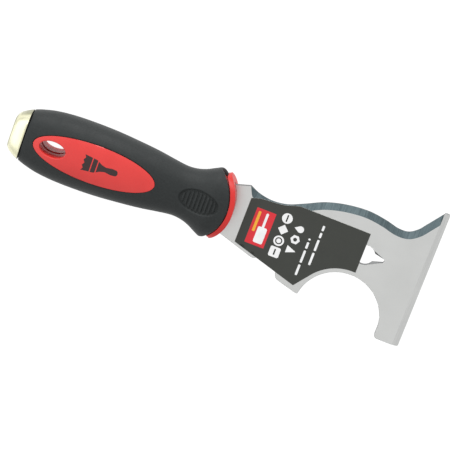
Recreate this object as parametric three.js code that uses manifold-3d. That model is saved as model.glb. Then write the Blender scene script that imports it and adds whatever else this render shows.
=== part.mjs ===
// Painter's multi tool: a steel scraper blade whose full tang lies between two red core halves,
// with a soft black grip over them, a red front collar, a brass hammer cap and a printed label.
// Millimetres. The handle lies along X from the butt at X = 0, and the label faces +Z.
import * as THREE from 'three';
import { mergeVertices } from 'three/addons/utils/BufferGeometryUtils.js';
import Module from 'manifold-3d';

const wasm = await Module();
wasm.setup();

// ---- driving dimensions ----

const GAP = 0.3; // clearance between neighbouring pieces
const REACH = 40; // how far a cutting tool runs past what it cuts

// Handle: distance from the butt, half width and half thickness of its rounded section.
const HANDLE = [
  [6.5, 12.35, 8.9],
  [10, 13.6, 9.7],
  [16, 15.1, 10.7],
  [24, 16.05, 11.5],
  [34, 16.35, 12.0],
  [46, 16.1, 11.9],
  [58, 15.2, 11.2],
  [68, 14.15, 10.4],
  [76, 12.9, 9.7],
  [82.5, 12.1, 9.3],
  [87, 12.5, 9.4],
  [91, 13.75, 9.9],
  [95, 15.8, 10.7],
  [98, 17.1, 11.3],
  [102, 16.5, 11.3],
  [112, 15.6, 11.0],
];
const SECTION_POWER = 2.3; // 2 is an ellipse, more is squarer
const SECTION_POINTS = 32;
const GRIP_START = 6.8;
const GRIP_WALL = 2.2;

// The front of the handle is domed about an upright axis.
const DOME_X = 84.3;
const DOME_R = 24.9;
const COLLAR_THICKNESS = 2.4;
const COLLAR_HALF_THICKNESS = 11.6;
// The collar's ends flare: distance from the butt and half width.
const COLLAR_FLARE = [
  [100.4, 14.9],
  [103, 16.5],
];

// Oval window on each face, hang hole and ribbed thumb pads.
const WINDOW = { x: 41.2, halfLength: 29.9, halfWidth: 9.35 };
const HANG_HOLE = { x: 21, halfLength: 6.4, halfWidth: 3.75 };
const PAD = { x: 92.6, halfLength: 9.9, halfWidth: 5.85, depth: 0.7 };
const PAD_RIM = 1.0;
const RIB = { count: 9, pitch: 1.9, width: 1.0, sunk: 0.2, bottom: 4 };

// Hammer cap: distance from the butt, half width and half thickness.
const CAP = [
  [0, 7.2, 6.0],
  [0.5, 8.1, 6.7],
  [1.4, 9.1, 7.2],
  [3.4, 10.4, 7.9],
  [6.5, 12.0, 8.7],
];
const CAP_POWER = 2.6;
const CAP_NECK = { start: 4, end: 12.6, halfWidth: 7, halfThickness: 4.6 };

// Steel plate: the blade and, behind it, the tang.
const PLATE = 2.3;
const TANG = { start: 3.2, end: 108, halfWidth: 7.5 };
const PIN = { x: 9.6, radius: 1.2 };
const RIVET = { radius: 1.6, headRadius: 3.2, headHeight: 1.2, halfLength: 6.3 };
const RIVET_X = { rear: 78, front: 90 };
const RIM = 0.2; // clearance round a fastener in plastic

// The blade has its own frame: its origin on the handle's axis, turned a little about Z.
const BLADE_X = 106;
const BLADE_TURN = THREE.MathUtils.degToRad(-1.04);
const NECK = { start: -1.5, halfWidth: 12.4 };
const ROLLER = { x: 64.9, y: -28.9, radius: 20.35 };
const EDGE = { x: 97.4, top: 34.8, bottom: -32.8, corner: 0.9 };
const KEYHOLE = { x: 67.3, y: 2.85, radius: 4.7 };
// Slot that runs on from the round hole: half width where it starts, then its blunt tip.
const SLOT = { half: 2.1, tip: 76.9, tipY: 3.2, tipHalf: 0.85, tipRound: 0.4 };
const EDGE_BEVEL = { width: 3.2, depth: 1.6 };
const CHISEL_BEVEL = { width: 2.9, depth: 1.25 };
const KEYHOLE_BEVEL = { width: 1.2, depth: 0.9 };
const BEVEL_RUN_OUT = 0.04; // part of the ground edge where its bevel grows to full width
const TIP_LAND_X = 94.6; // the ground bevel stops here, short of the scraper edge

const LABEL = { thickness: 0.2, lift: 0.05, left: 8.7, right: 66.3 };

// ---- solids from geometry ----

function solidFrom(geometry) {
  const bare = geometry.clone();
  bare.deleteAttribute('normal');
  bare.deleteAttribute('uv');
  const merged = mergeVertices(bare, 1e-4);
  const mesh = new wasm.Mesh({
    numProp: 3,
    vertProperties: new Float32Array(merged.attributes.position.array),
    triVerts: new Uint32Array(merged.index.array),
  });
  return new wasm.Manifold(mesh);
}

function geometryFrom(solid) {
  const mesh = solid.getMesh();
  const geometry = new THREE.BufferGeometry();
  geometry.setAttribute('position', new THREE.BufferAttribute(mesh.vertProperties, 3));
  geometry.setIndex(new THREE.BufferAttribute(mesh.triVerts, 1));
  geometry.computeVertexNormals();
  return geometry;
}

// Closed body through rings that have the same number of points. Each ring runs
// anticlockwise as seen from the ring after it.
function loft(rings) {
  const count = rings[0].length;
  const last = rings.length - 1;
  const points = rings.flat();
  const centre = (ring) => ring.reduce((sum, p) => sum.add(p), new THREE.Vector3()).divideScalar(count);
  points.push(centre(rings[0]), centre(rings[last]));
  const index = [];
  for (let i = 0; i < last; i++) {
    for (let j = 0; j < count; j++) {
      const next = (j + 1) % count;
      const [a, b] = [i * count + j, i * count + next];
      index.push(a, b, a + count, b, b + count, a + count);
    }
  }
  const [startCentre, endCentre] = [points.length - 2, points.length - 1];
  for (let j = 0; j < count; j++) {
    const next = (j + 1) % count;
    index.push(startCentre, next, j);
    index.push(endCentre, last * count + j, last * count + next);
  }
  const geometry = new THREE.BufferGeometry().setFromPoints(points);
  geometry.setIndex(index);
  return geometry;
}

// Upright body of a flat outline between two heights.
function prism(shape, bottom, top, curveSegments = 24) {
  const options = { depth: top - bottom, bevelEnabled: false, curveSegments };
  return new THREE.ExtrudeGeometry(shape, options).translate(0, 0, bottom);
}

function ellipse(x, y, halfLength, halfWidth) {
  return new THREE.Shape().absellipse(x, y, halfLength, halfWidth, 0, Math.PI * 2);
}

function box(low, high) {
  const size = high.map((value, i) => value - low[i]);
  const middle = high.map((value, i) => (value + low[i]) / 2);
  return solidFrom(new THREE.BoxGeometry(...size).translate(...middle));
}

function uprightCylinder(x, radius, bottom, top, sides = 28) {
  const geometry = new THREE.CylinderGeometry(radius, radius, top - bottom, sides);
  return geometry.rotateX(Math.PI / 2).translate(x, 0, (top + bottom) / 2);
}

function inBladeFrame(geometry) {
  return geometry.rotateZ(BLADE_TURN).translate(BLADE_X, 0, 0);
}

// ---- handle surface ----

// Smooth values between the rows of a table of stations.
function stationAt(table, x) {
  const last = table.length - 1;
  let i = table.findIndex((row) => row[0] > x) - 1;
  if (i < 0) i = x < table[0][0] ? 0 : last - 1;
  const [p0, p1, p2, p3] = [i - 1, i, i + 1, i + 2].map((k) => table[Math.min(Math.max(k, 0), last)]);
  const span = p2[0] - p1[0];
  const t = THREE.MathUtils.clamp((x - p1[0]) / span, 0, 1);
  return [1, 2].map((k) => {
    const slope1 = ((p2[k] - p0[k]) / (p2[0] - p0[0])) * span;
    const slope2 = ((p3[k] - p1[k]) / (p3[0] - p1[0])) * span;
    const rise = p2[k] - p1[k];
    const bend = slope1 + slope2 - 2 * rise;
    return p1[k] + t * (slope1 + t * (3 * rise - 2 * slope1 - slope2 + t * bend));
  });
}

function sectionRing(x, halfWidth, halfThickness, power = SECTION_POWER, count = SECTION_POINTS) {
  const ring = [];
  for (let i = 0; i < count; i++) {
    const angle = (i / count) * Math.PI * 2;
    const [c, s] = [Math.cos(angle), Math.sin(angle)];
    const y = halfWidth * Math.sign(c) * Math.abs(c) ** (2 / power);
    const z = halfThickness * Math.sign(s) * Math.abs(s) ** (2 / power);
    ring.push(new THREE.Vector3(x, y, z));
  }
  return ring;
}

// The handle's outer shape, moved in by an inset, between two distances from the butt.
// Rings lie closer together where the rows of the table do.
function handleBody(inset, start, end, stepsPerRow = 2, count = SECTION_POINTS) {
  const places = HANDLE.slice(1).flatMap(([x], row) => {
    const from = HANDLE[row][0];
    return Array.from({ length: stepsPerRow }, (_, i) => from + ((x - from) * i) / stepsPerRow);
  });
  const between = places.filter((x) => x > start + 0.5 && x < end - 0.5);
  const rings = [start, ...between, end].map((x) => {
    const [halfWidth, halfThickness] = stationAt(HANDLE, x);
    return sectionRing(x, halfWidth - inset, halfThickness - inset, SECTION_POWER, count);
  });
  return solidFrom(loft(rings));
}

// Everything behind the dome of a given radius.
function behindDome(radius) {
  const rear = box([-REACH, -REACH, -REACH], [DOME_X, REACH, REACH]);
  const dome = solidFrom(uprightCylinder(DOME_X, radius, -REACH, REACH, 128));
  return rear.add(dome);
}

const NOSE_R = DOME_R - COLLAR_THICKNESS - GAP;
const HANDLE_FRONT = DOME_X + DOME_R + 1;

// ---- steel plate ----

function plateShape() {
  const shape = new THREE.Shape();
  const cornerX = 85.1;
  const corner = 2.2;
  shape.moveTo(NECK.start, -11.7);
  shape.lineTo(17.4, -17.5);
  shape.quadraticCurveTo(20.6, -18.4, 20.9, -16.2);
  shape.bezierCurveTo(21.2, -12.4, 30.6, -14.4, 31.5, -20.4);
  shape.quadraticCurveTo(32, -23.1, 34.2, -23.7);
  shape.lineTo(43.2, -26.1);
  shape.quadraticCurveTo(44.4, -26.4, 44.65, -25.9);
  shape.absarc(ROLLER.x, ROLLER.y, ROLLER.radius, Math.PI - 0.15, 0.12, true);
  shape.lineTo(cornerX, EDGE.bottom + corner);
  shape.quadraticCurveTo(cornerX, EDGE.bottom, cornerX + corner, EDGE.bottom);
  shape.lineTo(EDGE.x - EDGE.corner, EDGE.bottom);
  shape.quadraticCurveTo(EDGE.x, EDGE.bottom, EDGE.x, EDGE.bottom + EDGE.corner);
  shape.lineTo(EDGE.x, EDGE.top - EDGE.corner);
  shape.quadraticCurveTo(EDGE.x, EDGE.top, EDGE.x - EDGE.corner, EDGE.top);
  for (const point of groundEdge().reverse()) shape.lineTo(point.x, point.y);
  shape.lineTo(NECK.start, 11.5);
  shape.closePath();
  return shape;
}

// The contoured scraping edge, from the neck's corner to the point.
function groundEdge() {
  const path = new THREE.CurvePath();
  const points = [
    [6.6, 14.0],
    [11.6, 11.8],
    [18.4, 10.75],
    [25.6, 11.75],
    [33.0, 15.0],
    [41.5, 19.1],
    [51.2, 21.65],
    [61.5, 22.6],
    [70.2, 21.6],
    [77.2, 20.0],
    [82.2, 20.25],
    [86.1, 22.9],
    [89.0, 26.6],
    [95.1, EDGE.top],
  ];
  path.add(new THREE.SplineCurve(points.map(([x, y]) => new THREE.Vector2(x, y))));
  return path.getSpacedPoints(64);
}

function keyholePath() {
  const { x, y, radius } = KEYHOLE;
  const { half, tip, tipY, tipHalf, tipRound } = SLOT;
  const angle = Math.asin(half / radius);
  const path = new THREE.Path();
  path.absarc(x, y, radius, angle, Math.PI * 2 - angle, false);
  path.lineTo(tip - tipRound, tipY - tipHalf);
  path.quadraticCurveTo(tip, tipY, tip - tipRound, tipY + tipHalf);
  path.closePath();
  return path;
}

// Wedge that grinds a bevel along a path on the front face, with the steel on the path's right.
function bevelWedge(path, bevel, widthAt) {
  const over = 0.6;
  const top = PLATE / 2;
  const last = path.length - 1;
  const rings = path.map((point, i) => {
    const along = path[Math.min(i + 1, last)].clone().sub(path[Math.max(i - 1, 0)]).normalize();
    const width = Math.max(bevel.width * widthAt(i / last), 0.02);
    const slope = bevel.depth / bevel.width;
    const at = (inward, z) => new THREE.Vector3(point.x + along.y * inward, point.y - along.x * inward, z);
    const low = top - slope * (width + over);
    const high = top + slope * over;
    return [at(-over, low), at(-over, high), at(width + over, high)];
  });
  return solidFrom(loft(rings));
}

function groundEdgeBevel() {
  const growing = (t) => Math.min(t / BEVEL_RUN_OUT, 1);
  const wedge = bevelWedge(groundEdge(), EDGE_BEVEL, growing);
  return wedge.intersect(box([0, -REACH, -REACH], [TIP_LAND_X, REACH, REACH]));
}

function chiselBevel() {
  const path = [EDGE.top + 2, 0, EDGE.bottom - 2].map((y) => new THREE.Vector2(EDGE.x, y));
  return bevelWedge(path, CHISEL_BEVEL, () => 1);
}

function keyholeBevels() {
  const { x, y, radius } = KEYHOLE;
  const { half, tip, tipY, tipHalf, tipRound } = SLOT;
  const startX = x + Math.sqrt(radius ** 2 - half ** 2);
  const intoHole = 1.0;
  const sideLine = (side) => {
    const start = new THREE.Vector2(startX, y + side * half);
    const end = new THREE.Vector2(tip - tipRound, tipY + side * tipHalf);
    start.add(start.clone().sub(end).setLength(intoHole));
    return [start, end];
  };
  const upper = sideLine(1).reverse();
  const lower = sideLine(-1);
  const upperWedge = bevelWedge(upper, KEYHOLE_BEVEL, (t) => t);
  return upperWedge.add(bevelWedge(lower, KEYHOLE_BEVEL, (t) => 1 - t));
}

function tangSolid() {
  const { start, end, halfWidth } = TANG;
  const corner = 1.5;
  const shape = new THREE.Shape();
  shape.moveTo(start + corner, -halfWidth);
  shape.lineTo(end, -halfWidth);
  shape.lineTo(end, halfWidth);
  shape.lineTo(start + corner, halfWidth);
  shape.quadraticCurveTo(start, halfWidth, start, halfWidth - corner);
  shape.lineTo(start, -halfWidth + corner);
  shape.quadraticCurveTo(start, -halfWidth, start + corner, -halfWidth);
  const { x } = HANG_HOLE;
  shape.holes.push(ellipse(x, 0, HANG_HOLE.halfLength + RIM, HANG_HOLE.halfWidth + RIM));
  shape.holes.push(ellipse(PIN.x, 0, PIN.radius + GAP, PIN.radius + GAP));
  for (const rivetX of Object.values(RIVET_X)) {
    shape.holes.push(ellipse(rivetX, 0, RIVET.radius + GAP, RIVET.radius + GAP));
  }
  return solidFrom(prism(shape, -PLATE / 2, PLATE / 2, 16));
}

function makeBlade() {
  const shape = plateShape();
  shape.holes.push(keyholePath());
  let plate = solidFrom(prism(shape, -PLATE / 2, PLATE / 2, 12));
  for (const bevel of [groundEdgeBevel(), chiselBevel(), keyholeBevels()]) {
    plate = plate.subtract(bevel);
  }
  const turned = solidFrom(inBladeFrame(geometryFrom(plate)));
  return geometryFrom(turned.add(tangSolid()));
}

// ---- red core halves ----

// Space that the tang, the blade's shoulders and the cap's neck take up inside the core.
function corePocket() {
  const half = PLATE / 2 + GAP;
  const width = TANG.halfWidth + GAP;
  const tang = box([0, -width, -half], [TANG.end + 2, width, half]);
  const shoulders = box([NECK.start - GAP, -NECK.halfWidth, -half], [REACH, NECK.halfWidth, half]);
  const neckWidth = CAP_NECK.halfWidth + GAP;
  const neckHeight = CAP_NECK.halfThickness + GAP;
  const neck = box([0, -neckWidth, -neckHeight], [CAP_NECK.end + GAP, neckWidth, neckHeight]);
  return tang.add(solidFrom(inBladeFrame(geometryFrom(shoulders)))).add(neck);
}

// Holes for the rivets' shanks and heads in the half on one side (+1 front, -1 back).
function rivetSeats(side) {
  const headSeat = RIVET.halfLength - RIVET.headHeight - RIM;
  const seats = Object.values(RIVET_X).flatMap((x) => {
    const shank = uprightCylinder(x, RIVET.radius + RIM, 0, REACH);
    const head = uprightCylinder(x, RIVET.headRadius + RIM, headSeat, REACH);
    return [shank, head].map((geometry) => solidFrom(side > 0 ? geometry : geometry.rotateX(Math.PI)));
  });
  return seats.reduce((sum, seat) => sum.add(seat));
}

function makeCoreHalf(side) {
  const { x, halfLength, halfWidth } = WINDOW;
  const padOutline = ellipse(x, 0, halfLength - GAP / 2, halfWidth - GAP / 2);
  const padPrism = solidFrom(prism(padOutline, -REACH, REACH, 32));
  const body = handleBody(GRIP_WALL + GAP, GRIP_START, HANDLE_FRONT, 1, 24);
  const padReach = halfLength + GAP;
  const pad = handleBody(0, x - padReach, x + padReach).intersect(padPrism);
  const hangOutline = ellipse(HANG_HOLE.x, 0, HANG_HOLE.halfLength, HANG_HOLE.halfWidth);
  const hang = solidFrom(prism(hangOutline, -REACH, REACH));
  const seam = GAP / 2;
  const low = side > 0 ? seam : -REACH;
  const half = box([-REACH, -REACH, low], [HANDLE_FRONT + REACH, REACH, low + REACH - seam]);
  const whole = body.add(pad).intersect(behindDome(NOSE_R));
  const cut = whole.subtract(corePocket()).subtract(hang).subtract(rivetSeats(side));
  return geometryFrom(cut.intersect(half));
}

// ---- soft grip ----

// Shallow oval dish with cross ribs, for one face (+1 front, -1 back).
function padDish(side) {
  const outline = ellipse(PAD.x, 0, PAD.halfLength, PAD.halfWidth);
  return solidFrom(prism(outline, side > 0 ? 0 : -REACH, side > 0 ? REACH : 0, 16));
}

function padRibs(side) {
  const ribs = [];
  const length = PAD.halfLength - PAD_RIM;
  for (let i = 0; i < RIB.count; i++) {
    const offset = (i - (RIB.count - 1) / 2) * RIB.pitch;
    const reach = (PAD.halfWidth - PAD_RIM) * Math.sqrt(1 - (offset / length) ** 2);
    const x = PAD.x + offset;
    const bottom = side > 0 ? RIB.bottom : -REACH;
    const top = side > 0 ? REACH : -RIB.bottom;
    ribs.push(box([x - RIB.width / 2, -reach, bottom], [x + RIB.width / 2, reach, top]));
  }
  return ribs.reduce((sum, rib) => sum.add(rib));
}

function makeGrip() {
  const outer = handleBody(0, GRIP_START, HANDLE_FRONT);
  const sunk = handleBody(PAD.depth, GRIP_START, HANDLE_FRONT, 1);
  const ribTops = handleBody(RIB.sunk, GRIP_START, HANDLE_FRONT, 1);
  const inner = handleBody(GRIP_WALL, GRIP_START - 1, HANDLE_FRONT + 1, 1, 24);
  const windowShape = ellipse(WINDOW.x, 0, WINDOW.halfLength, WINDOW.halfWidth);
  let grip = outer;
  for (const side of [1, -1]) {
    grip = grip.subtract(padDish(side).subtract(sunk));
    grip = grip.add(padRibs(side).intersect(ribTops));
  }
  grip = grip.subtract(inner);
  grip = grip.subtract(solidFrom(prism(windowShape, -REACH, REACH, 32)));
  return geometryFrom(grip.intersect(behindDome(NOSE_R)));
}

// ---- collar, cap, fasteners and label ----

function makeCollar() {
  const [, widest] = COLLAR_FLARE;
  const stations = [[DOME_X, COLLAR_FLARE[0][1]], ...COLLAR_FLARE, [HANDLE_FRONT, widest[1]]];
  const rings = stations.map(([x, halfWidth]) =>
    sectionRing(x, halfWidth, COLLAR_HALF_THICKNESS, SECTION_POWER, 48),
  );
  const half = PLATE / 2 + GAP;
  const slot = box([-REACH, -NECK.halfWidth - GAP, -half], [REACH, NECK.halfWidth + GAP, half]);
  const disc = solidFrom(loft(rings)).intersect(behindDome(DOME_R));
  const shell = disc.subtract(behindDome(DOME_R - COLLAR_THICKNESS));
  return geometryFrom(shell.subtract(solidFrom(inBladeFrame(geometryFrom(slot)))));
}

function makeCap() {
  const rings = CAP.map(([x, width, height]) => sectionRing(x, width, height, CAP_POWER));
  const { start, end, halfWidth, halfThickness } = CAP_NECK;
  const neck = box([start, -halfWidth, -halfThickness], [end, halfWidth, halfThickness]);
  const slotHalf = PLATE / 2 + GAP;
  const slotWidth = TANG.halfWidth + GAP;
  const slot = box([TANG.start - GAP, -slotWidth, -slotHalf], [end + 1, slotWidth, slotHalf]);
  const bore = solidFrom(uprightCylinder(PIN.x, PIN.radius + RIM, -REACH, REACH));
  return geometryFrom(solidFrom(loft(rings)).add(neck).subtract(slot).subtract(bore));
}

function makePin() {
  return uprightCylinder(PIN.x, PIN.radius, -CAP_NECK.halfThickness, CAP_NECK.halfThickness);
}

function makeRivet() {
  const { radius, headRadius, headHeight, halfLength } = RIVET;
  const neck = halfLength - headHeight;
  const profile = [
    [0, -halfLength],
    [headRadius, -halfLength],
    [headRadius, -neck],
    [radius, -neck],
    [radius, neck],
    [headRadius, neck],
    [headRadius, halfLength],
    [0, halfLength],
  ];
  return new THREE.LatheGeometry(profile.map(([r, z]) => new THREE.Vector2(r, z)), 28).rotateX(Math.PI / 2);
}

function makeLabel() {
  const { left, right, thickness, lift } = LABEL;
  const shape = new THREE.Shape();
  const arcRadius = ROLLER.radius + 1.85;
  shape.moveTo(left, -13.5);
  shape.lineTo(41.4, -23.1);
  shape.absarc(ROLLER.x, ROLLER.y, arcRadius, THREE.MathUtils.degToRad(143), Math.PI / 2, true);
  shape.lineTo(right, ROLLER.y + arcRadius);
  shape.lineTo(right, 13.2);
  shape.lineTo(31.2, 13.4);
  shape.splineThru([[28.5, 12.6], [24, 11.2], [18.4, 10.6], [13, 10.1], [left, 8.8]].map(
    ([x, y]) => new THREE.Vector2(x, y),
  ));
  shape.closePath();
  const bottom = PLATE / 2 + lift;
  return inBladeFrame(prism(shape, bottom, bottom + thickness, 16));
}

// ---- materials and assembly ----

function finish(color, roughness, metalness) {
  return new THREE.MeshStandardMaterial({ color, roughness, metalness });
}

const steel = finish(0xc6c9c6, 0.35, 1);
const redPlastic = finish(0xd93a36, 0.35, 0);
const blackRubber = finish(0x33373a, 0.75, 0);
const brass = finish(0xd9cf96, 0.25, 1);
const zinc = finish(0xa9abad, 0.45, 1);
const printed = finish(0x3c3e3b, 0.5, 0);

function piece(name, geometry, material) {
  const mesh = new THREE.Mesh(geometry, material);
  mesh.name = name;
  return mesh;
}

function rivetAt(name, x) {
  const rivet = piece(name, makeRivet(), zinc);
  rivet.position.x = x;
  return rivet;
}

function makeTool() {
  const tool = new THREE.Group();
  tool.add(piece('blade', makeBlade(), steel));
  tool.add(piece('core_front', makeCoreHalf(1), redPlastic));
  tool.add(piece('core_back', makeCoreHalf(-1), redPlastic));
  tool.add(piece('grip', makeGrip(), blackRubber));
  tool.add(piece('front_collar', makeCollar(), redPlastic));
  tool.add(piece('hammer_cap', makeCap(), brass));
  tool.add(piece('cap_cross_pin', makePin(), zinc));
  tool.add(rivetAt('tang_rivet_rear', RIVET_X.rear));
  tool.add(rivetAt('tang_rivet_front', RIVET_X.front));
  tool.add(piece('label', makeLabel(), printed));
  return tool;
}

// The origin goes under the middle of the tool, on the surface it lies on.
const group = new THREE.Group();
const tool = makeTool();
const extent = new THREE.Box3().setFromObject(tool);
const middle = extent.getCenter(new THREE.Vector3());
tool.position.set(-middle.x, -middle.y, -extent.min.z);
group.add(tool);

export default group;
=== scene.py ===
"""Looks of the painter's multi tool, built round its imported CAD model."""
import itertools
import math

import bmesh
import bpy
import numpy as np
from mathutils import Matrix, Vector
from mathutils.geometry import delaunay_2d_cdt


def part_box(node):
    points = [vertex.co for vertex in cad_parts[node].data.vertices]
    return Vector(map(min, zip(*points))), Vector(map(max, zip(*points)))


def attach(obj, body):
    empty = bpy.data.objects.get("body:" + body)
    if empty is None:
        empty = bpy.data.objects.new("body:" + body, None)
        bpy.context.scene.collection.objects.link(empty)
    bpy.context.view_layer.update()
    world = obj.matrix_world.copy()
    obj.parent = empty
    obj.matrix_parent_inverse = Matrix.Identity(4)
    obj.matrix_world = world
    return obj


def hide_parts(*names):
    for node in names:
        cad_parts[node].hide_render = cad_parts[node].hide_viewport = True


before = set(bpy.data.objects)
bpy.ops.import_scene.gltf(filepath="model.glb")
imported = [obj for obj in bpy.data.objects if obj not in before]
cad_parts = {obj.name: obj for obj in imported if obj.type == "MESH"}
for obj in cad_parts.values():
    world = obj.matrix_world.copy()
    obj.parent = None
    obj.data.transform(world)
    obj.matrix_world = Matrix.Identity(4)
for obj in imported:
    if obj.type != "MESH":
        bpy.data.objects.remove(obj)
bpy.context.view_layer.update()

MM = 0.001
FAR = 99.0  # a distance that nothing on the tool reaches

# ---- places, from the frame

CAP_LOW, CAP_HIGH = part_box("hammer_cap")
BLADE_LOW, BLADE_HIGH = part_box("blade")
LABEL_LOW, LABEL_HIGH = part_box("label")
# The middle of the butt's end face. Every shape below is in millimetres from it.
BUTT = Vector((CAP_LOW.x, (CAP_LOW.y + CAP_HIGH.y) / 2, (BLADE_LOW.z + BLADE_HIGH.z) / 2))
PLATE = (BLADE_HIGH.z - BLADE_LOW.z) / MM

# ---- driving dimensions, mm

GAP = 0.3  # between neighbouring pieces
# Handle: distance from the butt, half width and half thickness.
HANDLE = np.array([
    [6.5, 12.35, 8.9],
    [10, 13.6, 9.7],
    [16, 15.1, 10.7],
    [24, 16.05, 11.5],
    [34, 16.35, 12.0],
    [46, 16.1, 11.9],
    [58, 15.2, 11.2],
    [68, 14.15, 10.4],
    [76, 12.9, 9.7],
    [82.5, 12.1, 9.3],
    [87, 12.5, 9.4],
    [91, 13.75, 9.9],
    [95, 15.8, 10.7],
    [98, 17.1, 11.3],
    [102, 16.5, 11.3],
    [112, 15.6, 11.0],
])
SECTION_POWER = 2.3
GRIP_START = 6.9
GRIP_WALL = 2.2
DOME_X, DOME_R = 84.3, 24.9  # middle and radius of the dome that ends the handle
COLLAR_THICKNESS = 2.4
COLLAR_HALF = (16.5, 11.6)
COLLAR_POWER = 2.0
COLLAR_TAPER = 0.5  # how much thinner the collar is at its two ends
COLLAR_FLARE = 1.5  # how much narrower the collar is at its rear
COLLAR_EDGE = 0.22
NOSE_R = DOME_R - COLLAR_THICKNESS - GAP
DOME_STEPS = 40  # repeats that bring the dome's edge to within a micrometre
NOSE_SIDE = 15.8  # the corners of the grip's front end start here
NOSE_CORNER = 1.3
NOSE_ROUND = 0.5
REAR_ROUND = 0.3
WINDOW = (41.2, 29.9, 9.35)  # place along the handle, half length, half width
WINDOW_ROUND = 0.25
HANG_HOLE = (21.0, 6.4, 3.75)
HOLE_ROUND = 0.3
OVAL_GAP = 0.12  # between the window and the red oval in it
OVAL_ROUND = 0.2
SEAM_RIDGE, SEAM_WIDTH = 0.05, 0.2  # parting line along the grip's sides
PAD = (92.6, 9.9, 5.85)  # the ribbed thumb dish
PAD_DEPTH = 0.95
PAD_SLOPE = 0.55  # width of the dish's sloping rim
RIB_MARGIN = 1.1  # between the dish's rim and the ribs
RIB_SLOPE = 0.4
RIB_HEIGHT = 0.75
RIB_PITCH = 1.9
RIB_COUNT = 9

# Cap: distance from the butt, half width and half thickness.
CAP = np.array([[0, 7.2, 6.0], [0.5, 8.1, 6.7], [1.4, 9.1, 7.2], [3.4, 10.4, 7.9], [6.5, 12.0, 8.7]])
CAP_POWER = 3.6
CAP_BACK_X = 6.5
CAP_NECK = (12.6, 7.0, 4.6)  # end, half width, half thickness

TANG = (3.2, 7.5)  # rear end, half width
TANG_HOLE_GAP = 0.7
BORE_GAP = 0.2  # round the pin and the rivets
OUTSIDE = 20  # a height above all of the handle
PAST_NOSE = 112  # a place in front of all of the handle
PIN_X, PIN_R = 9.6, 1.2
RIVET_XS = (78, 90)
RIVET_R, RIVET_HEAD_R, RIVET_HEAD_Z = 1.6, 3.2, 5.1

# The blade's and the label's outlines are in the blade's own frame, which starts here.
BLADE_X = 106
BLADE_TURN = math.radians(-1.04)
NECK_START = -1.5
NECK_HALF = 12.4
ROLLER = (64.9, -28.9, 20.35)  # centre and radius of the roller arc
EDGE_X, EDGE_TOP, EDGE_BOTTOM = 97.4, 34.8, -32.8
KEYHOLE = (67.3, 2.85, 4.7)  # centre and radius of its round hole
SLOT_HALF = 2.1
SLOT_TIP, SLOT_TIP_Y = 76.9, 3.2
SLOT_TIP_HALF, SLOT_TIP_ROUND = 0.85, 0.4
GROUND_START = 6.4  # where the ground edge begins, beside the neck
GROUND_WIDTH, GROUND_DEPTH = 3.2, 1.6
EDGE_CORNER = 0.9
EDGE_ROUND = 0.12  # rounding of the plate's cut edges
CHISEL_WIDTH, CHISEL_DEPTH = 2.9, 1.25
SLOT_BEVEL_WIDTH, SLOT_BEVEL_DEPTH = 1.2, 0.9
TIP_LAND_X = 94.6  # the point is not ground past here
TIP_RAMP = 0.5
LABEL_LEFT, LABEL_RIGHT = 8.7, 66.3

# ---- material slots of each piece

STEEL_SLOT, GROUND_REFLECTION_SLOT, SHEARED_SHADE_SLOT, CHISEL_SHADE_SLOT = range(4)
OVAL_SLOT, INK_SLOT, BORE_SHADE_SLOT = range(3)
BRASS_SLOT, CAP_SEAM_SHADE_SLOT = range(2)
BLACK, RED_PRINT, WHITE, YELLOW, BACKING = range(5)


# ---- flat triangle sheets

HEX_ROW = 0.866  # distance between the rows of a hexagonal grid, in steps
SHORTEST_STEP = 0.02
BATCH = 4000  # points that are compared with a path at a time, to save memory


def pairs(x, y):
    """Rows of x and y, where either may be one number for all rows."""
    return np.stack(np.broadcast_arrays(x, y), 1)


def inside(points, loop):
    """Which points lie inside a closed loop."""
    found = []
    a, b = loop, np.roll(loop, -1, 0)
    rise = np.where(b[:, 1] == a[:, 1], 1e-12, b[:, 1] - a[:, 1])
    for some in np.array_split(points, max(1, len(points) // BATCH)):
        x, y = some[:, :1], some[:, 1:2]
        crosses = (a[:, 1] > y) != (b[:, 1] > y)
        at = a[:, 0] + (y - a[:, 1]) * (b[:, 0] - a[:, 0]) / rise
        found.append((crosses & (x < at)).sum(1) % 2 == 1)
    return np.concatenate(found)


def distance(points, path, closed=True):
    """Distance from each point to a path, and how far along the path (0 to 1) the nearest place is."""
    a = path if closed else path[:-1]
    b = np.roll(path, -1, 0) if closed else path[1:]
    step = b - a
    length = np.hypot(*step.T)
    before = np.concatenate([[0], np.cumsum(length)])
    near, along = [], []
    for some in np.array_split(points, max(1, len(points) // BATCH)):
        to = some[:, None] - a
        t = np.clip((to * step).sum(2) / np.maximum(length**2, 1e-12), 0, 1)
        gap = np.hypot(*np.moveaxis(to - t[..., None] * step, 2, 0))
        best = gap.argmin(1)
        rows = np.arange(len(some))
        near.append(gap[rows, best])
        along.append((before[best] + t[rows, best] * length[best]) / before[-1])
    return np.concatenate(near), np.concatenate(along)


def resample(path, spacing, closed=True):
    """The same path with even steps, which may cut its corners."""
    path = np.asarray(path, float)
    whole = np.vstack([path, path[:1]]) if closed else path
    length = np.concatenate([[0], np.cumsum(np.hypot(*np.diff(whole, axis=0).T))])
    count = max(3, round(length[-1] / spacing))
    at = np.linspace(0, length[-1], count + 1)
    if closed:
        at = at[:-1]
    return np.stack([np.interp(at, length, whole[:, k]) for k in (0, 1)], 1)


def with_corners(path, spacing, closed=True):
    """The same path with points added on its long steps, and its corners kept."""
    path = np.asarray(path, float)
    following = np.roll(path, -1, 0)
    if not closed:
        following[-1] = path[-1]
    parts = []
    for a, b in zip(path, following):
        length = math.dist(a, b)
        if length < SHORTEST_STEP:
            continue
        count = max(1, round(length / spacing))
        parts.append(a + (b - a) * (np.arange(count) / count)[:, None])
    if not closed:
        parts.append(path[-1:])
    return np.concatenate(parts)


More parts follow.
